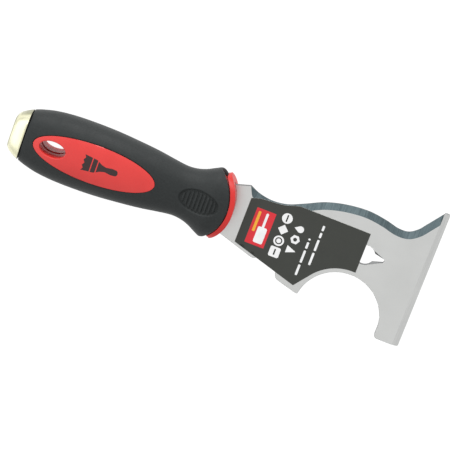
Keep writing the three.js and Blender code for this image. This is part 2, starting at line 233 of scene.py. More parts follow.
def hex_grid(low, high, step):
    """Evenly spread points over a rectangle, in rows that are half a step apart sideways."""
    parts = []
    for i, y in enumerate(np.arange(low[1], high[1], step * HEX_ROW)):
        x = np.arange(low[0] + (i % 2) * step / 2, high[0], step)
        parts.append(pairs(x, y))
    return np.concatenate(parts)


def ring(x, half_length, half_width, grow=0.0, spacing=0.5):
    """Points on an ellipse that is grown by a distance."""
    angle = np.linspace(0, 2 * math.pi, 721)[:-1]
    points = pairs(x + (half_length + grow) * np.cos(angle), (half_width + grow) * np.sin(angle))
    return resample(points, min(spacing, half_width / 6))


def from_ellipse(x, y, shape):
    """Signed distance to an ellipse, near enough close to its rim."""
    centre, half_length, half_width = shape
    dx, dy = x - centre, y
    f = np.sqrt((dx / half_length) ** 2 + (dy / half_width) ** 2)
    slope = np.sqrt((dx / half_length**2) ** 2 + (dy / half_width**2) ** 2)
    return (f - 1) * f / np.maximum(slope, 1e-9)


class Sheet:
    """Triangles inside the first loop and outside the others, with edges along the loops and lines."""

    def __init__(self, loops, lines=(), points=()):
        coords, edges, spans = [], [], []
        for path, closed in [(p, True) for p in loops] + [(p, False) for p in lines]:
            start = len(coords)
            spans.append((start, len(path)))
            coords.extend(path.tolist())
            edges += [(start + i, start + i + 1) for i in range(len(path) - 1)]
            if closed:
                edges.append((start + len(path) - 1, start))
        for some in points:
            coords.extend(some.tolist())
        out = delaunay_2d_cdt([Vector(c) for c in coords], edges, [], 0, 1e-5)
        self.flat = np.array([tuple(v) for v in out[0]])
        faces = np.array([f for f in out[2] if len(f) == 3])
        middle = self.flat[faces].mean(1)
        keep = inside(middle, loops[0])
        for hole in loops[1:]:
            keep &= ~inside(middle, hole)
        a, b, c = (self.flat[faces[:, k]] for k in range(3))
        area = (b[:, 0] - a[:, 0]) * (c[:, 1] - a[:, 1]) - (b[:, 1] - a[:, 1]) * (c[:, 0] - a[:, 0])
        faces = faces[keep & (np.abs(area) > 1e-10)]
        new = {}
        for index, olds in enumerate(out[3]):
            for old in olds:
                new[old] = index
        used = np.unique(faces)
        place = np.full(len(self.flat), -1)
        place[used] = np.arange(len(used))
        self.faces = place[faces]
        self.flat = self.flat[used]
        self.rims = [np.array([place[new[start + i]] for i in range(count)])
                     for start, count in spans[: len(loops)]]

    def middles(self):
        return self.flat[self.faces].mean(1)


def at_height(flat, z):
    """Points in space from flat points and one height, or a height for each."""
    return np.column_stack([flat, np.broadcast_to(z, len(flat))])


def bridge(rings):
    """Quads between rings of vertex numbers that have the same length."""
    quads = []
    for a, b in zip(rings, rings[1:]):
        a_next, b_next = np.roll(a, -1), np.roll(b, -1)
        quads.append(np.stack([a, a_next, b_next, b], 1))
    return np.concatenate(quads)


def add_object(name, data):
    obj = bpy.data.objects.new(name, data)
    bpy.context.scene.collection.objects.link(obj)
    return obj


class Body:
    """Collects vertices and faces, then becomes a Blender object on the frame."""

    def __init__(self):
        self.points = []
        self.faces = []
        self.slots = []
        self.count = 0

    def add(self, points):
        """Adds vertices and gives back their numbers."""
        start = self.count
        self.points.append(np.asarray(points, float))
        self.count += len(points)
        return np.arange(start, self.count)

    def cover(self, faces, slots=0):
        """Adds faces in one material slot, or in a slot for each."""
        self.faces += faces.tolist()
        self.slots.append(np.broadcast_to(slots, len(faces)))

    def build(self, name, nodes, materials, sharp=30.0, cuts=(), weld=0.0):
        """Makes the object, in metres, in place of the CAD's nodes."""
        mesh = bpy.data.meshes.new(name)
        mesh.from_pydata(np.concatenate(self.points).tolist(), [], self.faces)
        mesh.polygons.foreach_set("material_index", np.concatenate(self.slots).astype(np.int32))
        for material in materials:
            mesh.materials.append(material)
        work = bmesh.new()
        work.from_mesh(mesh)
        if weld:
            bmesh.ops.remove_doubles(work, verts=work.verts, dist=weld)
        bmesh.ops.dissolve_degenerate(work, edges=work.edges, dist=1e-6)
        bmesh.ops.recalc_face_normals(work, faces=work.faces)
        work.to_mesh(mesh)
        work.free()
        obj = add_object(name, mesh)
        for cutter, operation in cuts:
            boolean(obj, cutter, operation)
        mesh = obj.data
        mesh.transform(Matrix.Translation(BUTT) @ Matrix.Scale(MM, 4))
        mesh.shade_smooth()
        mesh.set_sharp_from_angle(angle=math.radians(sharp))
        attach(obj, "root")
        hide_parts(*nodes)


def boolean(obj, cutter, operation):
    """Cuts or joins one mesh with another and removes the other."""
    modifier = obj.modifiers.new("cut", "BOOLEAN")
    modifier.operation = operation
    modifier.solver = "MANIFOLD"
    modifier.object = cutter
    bpy.context.view_layer.update()
    result = bpy.data.meshes.new_from_object(obj.evaluated_get(bpy.context.evaluated_depsgraph_get()))
    obj.modifiers.clear()
    old = obj.data
    obj.data = result
    bpy.data.meshes.remove(old)
    bpy.data.objects.remove(cutter)


def cutter_object(points, faces):
    mesh = bpy.data.meshes.new("cutter")
    mesh.from_pydata(points, [], faces)
    return add_object("cutter", mesh)


def block(low, high, turned=False):
    """A box to cut or join with."""
    corners = list(itertools.product(*zip(low, high)))
    if turned:
        flat = in_blade_frame(np.array([c[:2] for c in corners]))
        corners = [(*p, c[2]) for p, c in zip(flat.tolist(), corners)]
    faces = [(0, 1, 3, 2), (4, 6, 7, 5), (0, 4, 5, 1), (2, 3, 7, 6), (0, 2, 6, 4), (1, 5, 7, 3)]
    return cutter_object(corners, faces)


def peg(x, radius, bottom, top, sides=48):
    """An upright cylinder to cut with."""
    angles = [2 * math.pi * i / sides for i in range(sides)]
    points = [(x + radius * math.cos(a), radius * math.sin(a), z) for z in (bottom, top) for a in angles]
    faces = [tuple(reversed(range(sides))), tuple(range(sides, 2 * sides))]
    faces += [(i, (i + 1) % sides, sides + (i + 1) % sides, sides + i) for i in range(sides)]
    return cutter_object(points, faces)


# ---- handle surface

def half_sizes(x):
    """Half width and half thickness of the handle at distances from the butt."""
    x = np.asarray(x, float)
    last = len(HANDLE) - 1
    i = np.clip(np.searchsorted(HANDLE[:, 0], x, side="right") - 1, 0, last - 1)
    p0, p1, p2, p3 = (HANDLE[np.clip(i + k, 0, last)] for k in (-1, 0, 1, 2))
    span = (p2 - p1)[:, :1]
    t = np.clip((x[:, None] - p1[:, :1]) / span, 0, 1)
    slope1 = (p2 - p0) / (p2 - p0)[:, :1] * span
    slope2 = (p3 - p1) / (p3 - p1)[:, :1] * span
    rise = p2 - p1
    out = p1 + t * (slope1 + t * (3 * rise - 2 * slope1 - slope2 + t * (slope1 + slope2 - 2 * rise)))
    return out[:, 1], out[:, 2]


def section(angle, half_width, half_thickness, power=SECTION_POWER):
    c, s = np.cos(angle), np.sin(angle)
    y = half_width * np.sign(c) * np.abs(c) ** (2 / power)
    z = half_thickness * np.sign(s) * np.abs(s) ** (2 / power)
    return y, z


# Girth runs round the handle in mm: 0 at its +Y side, over the front face, and back.
ANGLES = np.linspace(0, 2 * math.pi, 4001)
GIRTHS = np.concatenate([[0], np.cumsum(np.hypot(*np.diff(section(ANGLES, 16.0, 11.5), axis=1)))])
GIRTH = GIRTHS[-1]


def on_handle(flat, inset=0.0):
    """Points in space from (distance, girth), moved in by an inset."""
    x, girth = flat.T
    half_width, half_thickness = half_sizes(x)
    angle = np.interp(girth, GIRTHS, ANGLES)
    y, z = section(angle, half_width - inset, half_thickness - inset)
    return np.stack([x, y, z], 1)


def girth_of(x, y, back=False):
    """Girth at which the handle's surface lies over, or with back under, a place seen from above."""
    half_width, _ = half_sizes(x)
    c = np.sign(y) * np.minimum(np.abs(y) / half_width, 1) ** (SECTION_POWER / 2)
    angle = np.arccos(c)
    return np.interp(2 * math.pi - angle if back else angle, ANGLES, GIRTHS)


def unroll(path, back=False):
    """(distance, girth) of points given as seen from above or below."""
    return pairs(path[:, 0], girth_of(path[:, 0], path[:, 1], back))


def handle_gap(flat, shape):
    """Signed distance to an ellipse as seen from above, at points of the handle's unrolled surface."""
    x, y, _ = on_handle(flat).T
    return from_ellipse(x, y, shape)


def nose_x(y, radius):
    """Distance from the butt of the dome that ends the grip, with its two corners rounded."""
    over = np.clip(np.abs(y) - NOSE_SIDE, 0, NOSE_CORNER)
    return DOME_X + np.sqrt(radius**2 - y**2) - fillet(NOSE_CORNER - over, NOSE_CORNER)


def nose_gap(x, y):
    """Distance from the grip's front end, as seen from above."""
    side = np.linspace(-NOSE_SIDE - NOSE_CORNER, NOSE_SIDE + NOSE_CORNER, 241)
    path = pairs(nose_x(side, NOSE_R), side)
    gap = np.full(len(x), FAR)
    near = x > nose_x(np.array([NOSE_SIDE + NOSE_CORNER]), NOSE_R)[0] - 3
    gap[near], _ = distance(pairs(x, y)[near], path, closed=False)
    return gap


def dome_edge(girth, radius):
    """Distance from the butt at which the handle's surface meets the dome."""
    x = np.full(len(girth), DOME_X + radius * 0.8)
    for _ in range(DOME_STEPS):
        y = on_handle(pairs(x, girth))[:, 1]
        x = (x + nose_x(y, radius)) / 2
    return x


def handle_outline(girth, around_count, side_count):
    """Outline of the handle's unrolled surface up to a girth: a side, the nose, the other side, the rear."""
    around = np.linspace(0, girth, around_count)
    front = pairs(dome_edge(around, NOSE_R), around)
    side = np.linspace(GRIP_START, front[0, 0], side_count)[1:-1]
    return np.concatenate([pairs(side, 0), front, pairs(side, girth)[::-1], pairs(GRIP_START, around)[::-1]])


def fillet(gap, radius):
    """How far a rounded edge drops at a distance from the edge."""
    back = np.clip(radius - gap, 0, radius)
    return radius - np.sqrt(radius**2 - back**2)


def smooth(value):
    """An even rise from 0 to 1 that starts and ends flat."""
    t = np.clip(value, 0, 1)
    return t * t * (3 - 2 * t)


# ---- grip

GRIP_AROUND = 321  # points round the grip's ends


def dish(x, y):
    """Depth of the ribbed thumb dish."""
    gap = from_ellipse(x, y, PAD)
    bowl = PAD_DEPTH * smooth(-gap / PAD_SLOPE)
    floor = smooth((-gap - RIB_MARGIN) / RIB_SLOPE)
    centre = PAD[0]
    near_rib = np.abs(x - centre) < RIB_COUNT * RIB_PITCH / 2
    wave = 0.5 + 0.5 * np.cos((x - centre) / RIB_PITCH * 2 * math.pi)
    return bowl - RIB_HEIGHT * floor * near_rib * smooth(wave * 1.6 - 0.3)


def grip_inset(flat):
    """How far the grip lies below the handle's surface, with the parting line standing a little proud."""
    girth = flat[:, 1]
    x, y, _ = on_handle(flat).T
    inset = fillet(nose_gap(x, y), NOSE_ROUND) + fillet(x - GRIP_START, REAR_ROUND)
    inset += fillet(np.maximum(from_ellipse(x, y, WINDOW), 0), WINDOW_ROUND)
    inset += np.where(np.abs(x - PAD[0]) < PAD[1] + 2, dish(x, y), 0)
    from_seam = np.minimum(np.minimum(girth, GIRTH - girth), np.abs(girth - GIRTH / 2))
    ridge = SEAM_RIDGE * np.exp(-((from_seam / SEAM_WIDTH) ** 2))
    return inset - ridge * smooth((x - 8) / 2)  # it fades out beside the cap


def grip_rings(outline):
    """Points close together where the grip's surface turns quickly."""
    around = np.linspace(0, GIRTH, GRIP_AROUND)[1:-1]
    parts = []
    for share in (0.05, 0.15, 0.3, 0.5, 0.75, 1.0, 1.4, 1.9):
        parts.append(pairs(dome_edge(around, NOSE_R - share * NOSE_ROUND), around))
    for back in (0.05, 0.15, 0.35, 0.8):
        parts.append(pairs(GRIP_START + back, around))
    for back, grow in itertools.product((False, True), (0.04, 0.1, 0.17, 0.25, 0.6, 1.1)):
        parts.append(unroll(ring(*WINDOW, grow, 0.5), back))
    along = np.arange(GRIP_START + 1.2, 100, 0.8)
    for middle in (0, GIRTH / 2, GIRTH):
        for off in (-0.5, -0.3, -0.2, -0.1, 0, 0.1, 0.2, 0.3, 0.5):
            if 0 < middle + off < GIRTH:
                parts.append(pairs(along, middle + off))
    points = np.concatenate(parts)
    return points[inside(points, outline)]


def grip_fill(outline):
    """Points over the rest of the grip, closest together in the ribbed dish."""
    wide = hex_grid((GRIP_START + 1, 0.8), (108, GIRTH - 0.8), 0.85)
    fine = hex_grid((PAD[0] - PAD[1] - 1, 0.8), (PAD[0] + PAD[1] + 1, GIRTH - 0.8), 0.24)
    kept = []
    for points, near_pad in ((wide, False), (fine, True)):
        x, y, _ = on_handle(points).T
        seam = np.abs((points[:, 1] + GIRTH / 4) % (GIRTH / 2) - GIRTH / 4)
        keep = (from_ellipse(x, y, PAD) < 0.6) == near_pad
        keep &= (from_ellipse(x, y, WINDOW) > 1.4) & (seam > 0.7)
        keep &= nose_gap(x, y) > 2.2 * NOSE_ROUND
        kept.append(points[keep])
    points = np.concatenate(kept)
    return points[inside(points, outline)]


def make_grip():
    outline = handle_outline(GIRTH, GRIP_AROUND, 150)
    windows = [unroll(ring(*WINDOW, 0, 0.5), back) for back in (False, True)]
    outer = Sheet([outline, *windows], (), [grip_rings(outline), grip_fill(outline)])
    sparse = hex_grid((GRIP_START + 2, 1), (104, GIRTH - 1), 3)
    sparse = sparse[inside(sparse, outline) & (handle_gap(sparse, WINDOW) > 2)]
    inner = Sheet([outline, *windows], (), [sparse])
    body = Body()
    outer_ids = body.add(on_handle(outer.flat, grip_inset(outer.flat)))
    inner_ids = body.add(on_handle(inner.flat, GRIP_WALL))
    body.cover(outer_ids[outer.faces])
    body.cover(inner_ids[inner.faces])
    for rim, inner_rim in zip(outer.rims[1:], inner.rims[1:]):
        body.cover(bridge([outer_ids[rim], inner_ids[inner_rim]]))
    # The outline's two long sides meet each other, so only its ends need walls.
    walls = bridge([outer_ids[outer.rims[0]], inner_ids[inner.rims[0]]])
    along, around = np.abs(outline - np.roll(outline, -1, 0)).T
    on_seam = (around < 1e-9) & (along > 1e-9)
    body.cover(walls[~on_seam])
    body.build("soft_grip", ["grip"], [RUBBER], sharp=50, weld=0.002)


# ---- red core halves

def core_inset(flat):
    """How far the core lies below the handle's surface: rounded oval in the window, grip wall round it."""
    gap = -OVAL_GAP - handle_gap(flat, WINDOW)
    oval = fillet(gap, OVAL_ROUND) + fillet(np.maximum(handle_gap(flat, HANG_HOLE), 0), HOLE_ROUND)
    return np.where(gap >= -1e-6, oval, GRIP_WALL + GAP)


def brush_mark():
    """A paint brush as flat outlines, pointing along the handle: bristles, ferrule and handle."""
    middle = 44.3
    bristles = [
        (-8.6, -3.3), (-4.4, -2.9), (-4.4, 2.9), (-8.6, 3.3),
        (-7.7, 2.2), (-8.6, 1.1), (-7.7, 0), (-8.6, -1.1), (-7.7, -2.2),
    ]
    ferrule = [(-3.9, -2.9), (-1.6, -2.6), (-1.6, 2.6), (-3.9, 2.9)]
    t = np.linspace(0, 1, 24)
    half = np.interp(t, [0, 0.18, 0.45, 0.8, 1], [2.3, 1.5, 0.95, 1.35, 1.2])
    x = -1.1 + 9.2 * t
    tip = arc(8.1, 0, 1.2, -90, 90, 11)[1:-1]
    handle = np.concatenate([pairs(x, -half), tip, pairs(x, half)[::-1]])
    shapes = [np.array(bristles), np.array(ferrule), handle]
    return [resample(s, 0.35) * (0.95, 1.18) + (middle, -0.2) for s in shapes]


def make_core(front):
    """One red half. The back half is the front one upside down, without the printed mark."""
    outline = handle_outline(GIRTH / 2, 90, 70)
    hole = unroll(ring(*HANG_HOLE, 0, 0.25))
    marks = [unroll(m) for m in brush_mark()] if front else []
    # Two of the rings lie on either side of the oval's edge, where the surface steps down.
    rings = (-0.10, 1e-4 - OVAL_GAP, -1e-4 - OVAL_GAP, -0.16, -0.22, -0.32, -0.7, -1.3)
    parts = [unroll(ring(*WINDOW, grow, 0.4)) for grow in rings]
    parts += [unroll(ring(*HANG_HOLE, grow, 0.3)) for grow in (0.02, 0.05, 0.1, 0.18, 0.3, 0.6)]
    low, high = (GRIP_START + 1, 1), (105, GIRTH / 2 - 1)
    grid = hex_grid(low, high, 0.8)
    parts.append(grid[(handle_gap(grid, WINDOW) < -1.6) & (handle_gap(grid, HANG_HOLE) > 1.2)])
    coarse = hex_grid(low, high, 2.5)
    parts.append(coarse[handle_gap(coarse, WINDOW) > 1])
    points = np.concatenate(parts)
    lines = [np.vstack([mark, mark[:1]]) for mark in marks]
    outer = Sheet([outline, hole], lines, [points[inside(points, outline)]])

    body = Body()
    surface = on_handle(outer.flat, core_inset(outer.flat))
    seam = GAP / 2
    surface[:, 2] = np.maximum(surface[:, 2], seam)
    slots = np.full(len(outer.faces), OVAL_SLOT)
    for mark in marks:
        slots[inside(outer.middles(), mark)] = INK_SLOT
    top = body.add(surface)
    body.cover(top[outer.faces], slots)
    under = Sheet([surface[rim, :2] for rim in outer.rims])
    floor = body.add(at_height(under.flat, seam))
    body.cover(floor[under.faces])
    # The outline already lies on the parting plane along its sides, so equal points weld there.
    for rim, low_rim in zip(outer.rims, under.rims):
        # The walls, in the hang hole and along the sides, take a darker red as painted shade.
        body.cover(bridge([top[rim], floor[low_rim]]), BORE_SHADE_SLOT)
    cutters = core_cutters()
    if not front:
        body.points = [p * (1, 1, -1) for p in body.points]
        for cutter in cutters:
            cutter.data.transform(Matrix.Scale(-1, 4, (0, 0, 1)))
            cutter.data.flip_normals()
    name = "core_front" if front else "core_back"
    cuts = [(cutter, "DIFFERENCE") for cutter in cutters]
    materials = [RED, INK, BORE_SHADED_RED]
    body.build(f"{name}_half", [name], materials, sharp=40, cuts=cuts, weld=0.001)


def core_cutters():
    """Room in the front half for the tang, the blade's neck, the cap's neck and the rivets."""
    half = PLATE / 2 + GAP
    width = TANG[1] + GAP
    neck_end, neck_width, neck_half = (size + GAP for size in CAP_NECK)
    cutters = [
        block((0, -width, -half), (PAST_NOSE, width, half)),
        block((NECK_START - GAP, -NECK_HALF, -half), (40, NECK_HALF, half), turned=True),
        block((0, -neck_width, -neck_half), (neck_end, neck_width, neck_half)),
    ]
    for x in RIVET_XS:
        cutters.append(peg(x, RIVET_R + BORE_GAP, -1, OUTSIDE))
        cutters.append(peg(x, RIVET_HEAD_R + BORE_GAP, RIVET_HEAD_Z - BORE_GAP, OUTSIDE))
    return cutters


# ---- collar

def slot_point(angle, half_y, half_z):
    """Where a ray from the middle leaves a rectangle."""
    c, s = np.cos(angle), np.sin(angle)
    scale = 1 / np.maximum(np.abs(c) / half_y, np.abs(s) / half_z)
    return c * scale, s * scale


def collar_rings(inner_r):
    """Rings of the collar: share of the way from slot to rim, how far in from the rim, dome radius."""
    turns = np.linspace(0, math.pi / 2, 6)
    falling = COLLAR_EDGE * (1 - np.sin(turns))
    rising = COLLAR_EDGE * (1 - np.cos(turns))
    rings = [(share, 0, inner_r) for share in (0.0, 0.5, 0.85)]
    rings += [(1.0, back, inner_r + out) for back, out in zip(falling, rising)]
    rings += [(1.0, back, DOME_R - out) for back, out in zip(rising, falling)]
    return rings + [(share, COLLAR_EDGE, DOME_R) for share in (0.9, 0.75, 0.6, 0.45, 0.3, 0.15, 0.0)]


def make_collar():
    count = 240
    angle = (np.arange(count) + 0.5) / count * 2 * math.pi
    outer_y, outer_z = section(angle, *COLLAR_HALF, COLLAR_POWER)
    slot_y, slot_z = slot_point(np.arctan2(outer_z, outer_y), NECK_HALF + GAP, PLATE / 2 + GAP)
    inner_r = DOME_R - COLLAR_THICKNESS
    body = Body()
    ids = []
    for share, back, radius in collar_rings(inner_r):
        flare = COLLAR_FLARE * (DOME_R - radius) / COLLAR_THICKNESS
        rim_y, rim_z = section(angle, COLLAR_HALF[0] - back, COLLAR_HALF[1] - back, COLLAR_POWER)
        limit = COLLAR_HALF[0] - back - flare
        rim_y = np.clip(rim_y, -limit, limit)
        y = slot_y + (rim_y - slot_y) * share
        z = slot_z + (rim_z - slot_z) * share
        taper = COLLAR_TAPER * (radius - inner_r) / COLLAR_THICKNESS * np.abs(y / COLLAR_HALF[0]) ** 3
        x = DOME_X + np.sqrt(radius**2 - y**2) - taper
        ids.append(body.add(np.stack([x, y, z], 1)))
    body.cover(bridge([*ids, ids[0]]))
    body.build("domed_collar", ["front_collar"], [COLLAR_RED], sharp=50)


# ---- hammer cap

REAR_RINGS = 4  # the cap's last rings, painted dark as shade in the seam beside the grip


def cap_stations():
    """Rings of the cap from the middle of its end face to its rim beside the grip."""
    stations = [(0.0, *(CAP[0, 1:] * s)) for s in (0.25, 0.5, 0.75, 0.93)]
    fine = np.linspace(0, 1, 7) ** 1.5
    for a, b in zip(CAP, CAP[1:]):
        stations += [tuple(a + (b - a) * t) for t in (fine if a[0] < 1 else (0, 0.3, 0.6))]
    # The rim turns in to the flat rear face, which looks at the grip.
    _, last_width, last_thickness = CAP[-1]
    for x, back in ((6.25, 0.02), (6.38, 0.07), (6.47, 0.16), (CAP_BACK_X, 0.3), (CAP_BACK_X, 3.0)):
        stations.append((x, last_width - 0.16 - back, last_thickness - 0.1 - back))
    return stations


def make_cap():
    count = 200
    angle = np.arange(count) / count * 2 * math.pi
    body = Body()
    ids = []
    for x, half_width, half_thickness in cap_stations():
        y, z = section(angle, half_width, half_thickness, CAP_POWER)
        ids.append(body.add(np.column_stack([np.full(count, x), y, z])))
    body.cover(bridge(ids[:-REAR_RINGS]), BRASS_SLOT)
    # The last rings and the neck are painted dark as shade in the seam beside the grip.
    body.cover(bridge(ids[-REAR_RINGS - 1:]), CAP_SEAM_SHADE_SLOT)
    for end, x, slot in ((ids[0], 0.0, BRASS_SLOT), (ids[-1], CAP_BACK_X, CAP_SEAM_SHADE_SLOT)):
        middle = body.add([(x, 0, 0)])
        body.cover(np.stack([end, np.roll(end, -1), np.full(count, middle[0])], 1), slot)
    neck_end, neck_width, neck_half = CAP_NECK
    neck = block((4, -neck_width, -neck_half), (neck_end, neck_width, neck_half))
    neck.data.polygons.foreach_set("material_index", [CAP_SEAM_SHADE_SLOT] * len(neck.data.polygons))
    slot_half, slot_width = PLATE / 2 + GAP, TANG[1] + GAP
    slot = block((TANG[0] - GAP, -slot_width, -slot_half), (14, slot_width, slot_half))
    bore = peg(PIN_X, PIN_R + BORE_GAP, -OUTSIDE, OUTSIDE)
    cuts = [(neck, "UNION"), (slot, "DIFFERENCE"), (bore, "DIFFERENCE")]
    body.build("brass_cap", ["hammer_cap"], [BRASS, CAP_SEAM_SHADE], sharp=35, cuts=cuts)


# ---- blade

def in_blade_frame(flat):
    """The handle's coordinates of points that are given in the blade's own frame."""
    c, s = math.cos(BLADE_TURN), math.sin(BLADE_TURN)
    flat = np.asarray(flat, float)
    return pairs(BLADE_X + flat[:, 0] * c - flat[:, 1] * s, flat[:, 0] * s + flat[:, 1] * c)


def to_blade_frame(flat):
    c, s = math.cos(BLADE_TURN), math.sin(BLADE_TURN)
    x, y = flat[:, 0] - BLADE_X, flat[:, 1]
    return pairs(x * c + y * s, -x * s + y * c)


def bezier(points, count=16):
    """Points on a Bezier curve of any degree, without its first point."""
    points = np.array(points, float)
    degree = len(points) - 1
    t = np.linspace(0, 1, count + 1)[1:, None]
    return sum(math.comb(degree, k) * t**k * (1 - t) ** (degree - k) * points[k] for k in range(degree + 1))


def arc(x, y, radius, start, end, count=60):
    """Points on an arc between two angles in degrees, both ends included."""
    angle = np.radians(np.linspace(start, end, count + 1))
    return pairs(x + radius * np.cos(angle), y + radius * np.sin(angle))


def spline(points, count=20):
    """Smooth curve through points, as Catmull and Rom draw it."""
    p = np.array(points, float)
    p = np.vstack([p[0], p, p[-1]])
    t = np.linspace(0, 1, count, endpoint=False)[:, None]
    parts = []
    for i in range(1, len(p) - 2):
        v0, v1 = (p[i + 1] - p[i - 1]) / 2, (p[i + 2] - p[i]) / 2
        a, b = p[i], p[i + 1]
        parts.append((2 * a - 2 * b + v0 + v1) * t**3 + (-3 * a + 3 * b - 2 * v0 - v1) * t**2 + v0 * t + a)
    return np.vstack([*parts, p[-1:]])


def ground_edge():
    """The contoured scraping edge, from the neck's corner to the point."""
    points = [
        (6.6, 14.0), (11.6, 11.8), (18.4, 10.75), (25.6, 11.75), (33.0, 15.0),
        (41.5, 19.1), (51.2, 21.65), (61.5, 22.6), (70.2, 21.6), (77.2, 20.0),
        (82.2, 20.25), (86.1, 22.9), (89.0, 26.6), (95.1, EDGE_TOP),
    ]
    return resample(spline(points), 0.5, closed=False)


def edge_corner(y, side):
    """Rounded corner of the scraper edge, from its end face towards its middle."""
    c = EDGE_CORNER
    return bezier([(EDGE_X - c, y), (EDGE_X, y), (EDGE_X, y + side * c)], 8)


def joined(parts):
    return np.vstack([np.array(part, float) for part in parts])


def blade_outline():
    """Outline of plate and tang, anticlockwise, with the tang's rear end last."""
    hook_x, hook_corner = 85.1, 2.2
    hook_y = EDGE_BOTTOM + hook_corner
    plate = joined([
        [(NECK_START, -11.7), (17.4, -17.5)],
        bezier([(17.4, -17.5), (20.6, -18.4), (20.9, -16.2)], 10),
        bezier([(20.9, -16.2), (21.2, -12.4), (30.6, -14.4), (31.5, -20.4)], 30),
        bezier([(31.5, -20.4), (32, -23.1), (34.2, -23.7)], 12),
        [(43.2, -26.1)],
        bezier([(43.2, -26.1), (44.4, -26.4), (44.65, -25.9)], 8),
        arc(*ROLLER, 180 - 8.6, 6.9, 120),
        [(hook_x, hook_y)],
        bezier([(hook_x, hook_y), (hook_x, EDGE_BOTTOM), (hook_x + hook_corner, EDGE_BOTTOM)], 10),
        [(EDGE_X - EDGE_CORNER, EDGE_BOTTOM)],
        edge_corner(EDGE_BOTTOM, 1),
        [(EDGE_X, EDGE_TOP - EDGE_CORNER)],
        edge_corner(EDGE_TOP, -1)[::-1],
        [(EDGE_X - EDGE_CORNER, EDGE_TOP)],
        ground_edge()[::-1],
        [(NECK_START, 11.5)],
    ])
    plate = in_blade_frame(plate)
    x, half = TANG
    corner = 1.5
    tang = joined([
        [(plate[-1, 0], half), (x + corner, half)],
        bezier([(x + corner, half), (x, half), (x, half - corner)], 8),
        [(x, -half + corner)],
        bezier([(x, -half + corner), (x, -half), (x + corner, -half)], 8),
        [(plate[0, 0], -half)],
    ])
    return np.vstack([plate, tang])


def keyhole():
    """Round hole for a nail head, with a slot that narrows to a blunt tip."""
    x, y, radius = KEYHOLE
    angle = math.degrees(math.asin(SLOT_HALF / radius))
    end = SLOT_TIP - SLOT_TIP_ROUND
    low, high = SLOT_TIP_Y - SLOT_TIP_HALF, SLOT_TIP_Y + SLOT_TIP_HALF
    return joined([
        arc(x, y, radius, angle, 360 - angle, 70),
        [(end, low)],
        bezier([(end, low), (SLOT_TIP, SLOT_TIP_Y), (end, high)], 8),
    ])


def slot_sides():
    """The keyhole's two slanted sides, each from 1 mm inside the round hole to the tip."""
    x, y, radius = KEYHOLE
    sides = []
    for s in (1, -1):
        start = np.array([x + math.sqrt(radius**2 - SLOT_HALF**2), y + s * SLOT_HALF])
        end = np.array([SLOT_TIP - SLOT_TIP_ROUND, SLOT_TIP_Y + s * SLOT_TIP_HALF])
        sides.append(np.array([start + (start - end) / math.dist(start, end), end]))
    return sides


def shifted(path, amount):
    """A path moved to its right by an amount at each point."""
    along = np.gradient(path, axis=0)
    along /= np.hypot(*along.T)[:, None]
    return path + pairs(along[:, 1], -along[:, 0]) * amount[:, None]


def ground_width(share):
    """Width of the ground bevel, which grows from nothing at the neck's corner."""
    return GROUND_WIDTH * np.clip(share / 0.04, 0.01, 1)


def drop_of(flat, outline_gap):
    """How far the front face lies below the plate's top, at points in the handle's frame."""
    own = to_blade_frame(flat)
    gap, share = distance(own, ground_edge(), closed=False)
    width = ground_width(share)
    ground = GROUND_DEPTH / GROUND_WIDTH * (width - gap)
    ground *= np.clip((TIP_LAND_X - own[:, 0]) / TIP_RAMP, 0, 1) * (own[:, 0] > GROUND_START)
    chisel = CHISEL_DEPTH / CHISEL_WIDTH * (own[:, 0] - EDGE_X + CHISEL_WIDTH)
    drop = np.maximum(np.maximum(ground, chisel), 0)
    for side in slot_sides():
        gap, share = distance(own, side, closed=False)
        drop = np.maximum(drop, SLOT_BEVEL_DEPTH * (1 - share - gap / SLOT_BEVEL_WIDTH))
    return drop + fillet(outline_gap, EDGE_ROUND) * (drop < 0.4)  # a ground edge stays sharp


def edge_rings(loops, step=0.45):
    """Points just inside the outline and just outside the holes, where the plate's edge is rounded."""
    parts = []
    for index, loop in enumerate(loops):
        path = resample(loop, step)
        along = np.roll(path, -1, 0) - np.roll(path, 1, 0)
        along /= np.hypot(*along.T)[:, None]
        inward = pairs(-along[:, 1], along[:, 0]) * (1 if index == 0 else -1)
        for share in (0.15, 0.4, 0.7, 1.0, 3.5):
            parts.append(path + inward * EDGE_ROUND * share)
    return in_piece(np.concatenate(parts), loops, EDGE_ROUND * 0.14)


def in_piece(points, loops, margin):
    """The points inside the first loop and outside the others, further than a margin from them all."""
    keep = inside(points, loops[0])
    for hole in loops[1:]:
        keep &= ~inside(points, hole)
    for loop in loops:
        keep &= distance(points, loop)[0] > margin
    return points[keep]


def crease_lines():
    """Where the ground faces meet the flat of the plate."""
    path = ground_edge()
    share = np.linspace(0, 1, len(path))
    inner = shifted(path, ground_width(share))
    inner = inner[(inner[:, 0] < TIP_LAND_X) & (inner[:, 0] > GROUND_START)]
    low = inner[-1, 1] - 0.4
    lands = [np.array([(x, low), (x, EDGE_TOP + 1)]) for x in (TIP_LAND_X, TIP_LAND_X - TIP_RAMP)]
    chisel_x = EDGE_X - CHISEL_WIDTH
    chisel = resample([(chisel_x, EDGE_BOTTOM - 1), (chisel_x, EDGE_TOP + 1)], 1.0, closed=False)
    lines = [inner, chisel, *lands]
    for side in slot_sides():
        away = math.copysign(1, side[0, 1] - KEYHOLE[1])
        along = (side[1] - side[0]) / math.dist(*side)
        out = away * SLOT_BEVEL_WIDTH * np.array([-along[1], along[0]])
        lines.append(np.array([side[0] + out, side[1]]))
    return [in_blade_frame(line) for line in lines]


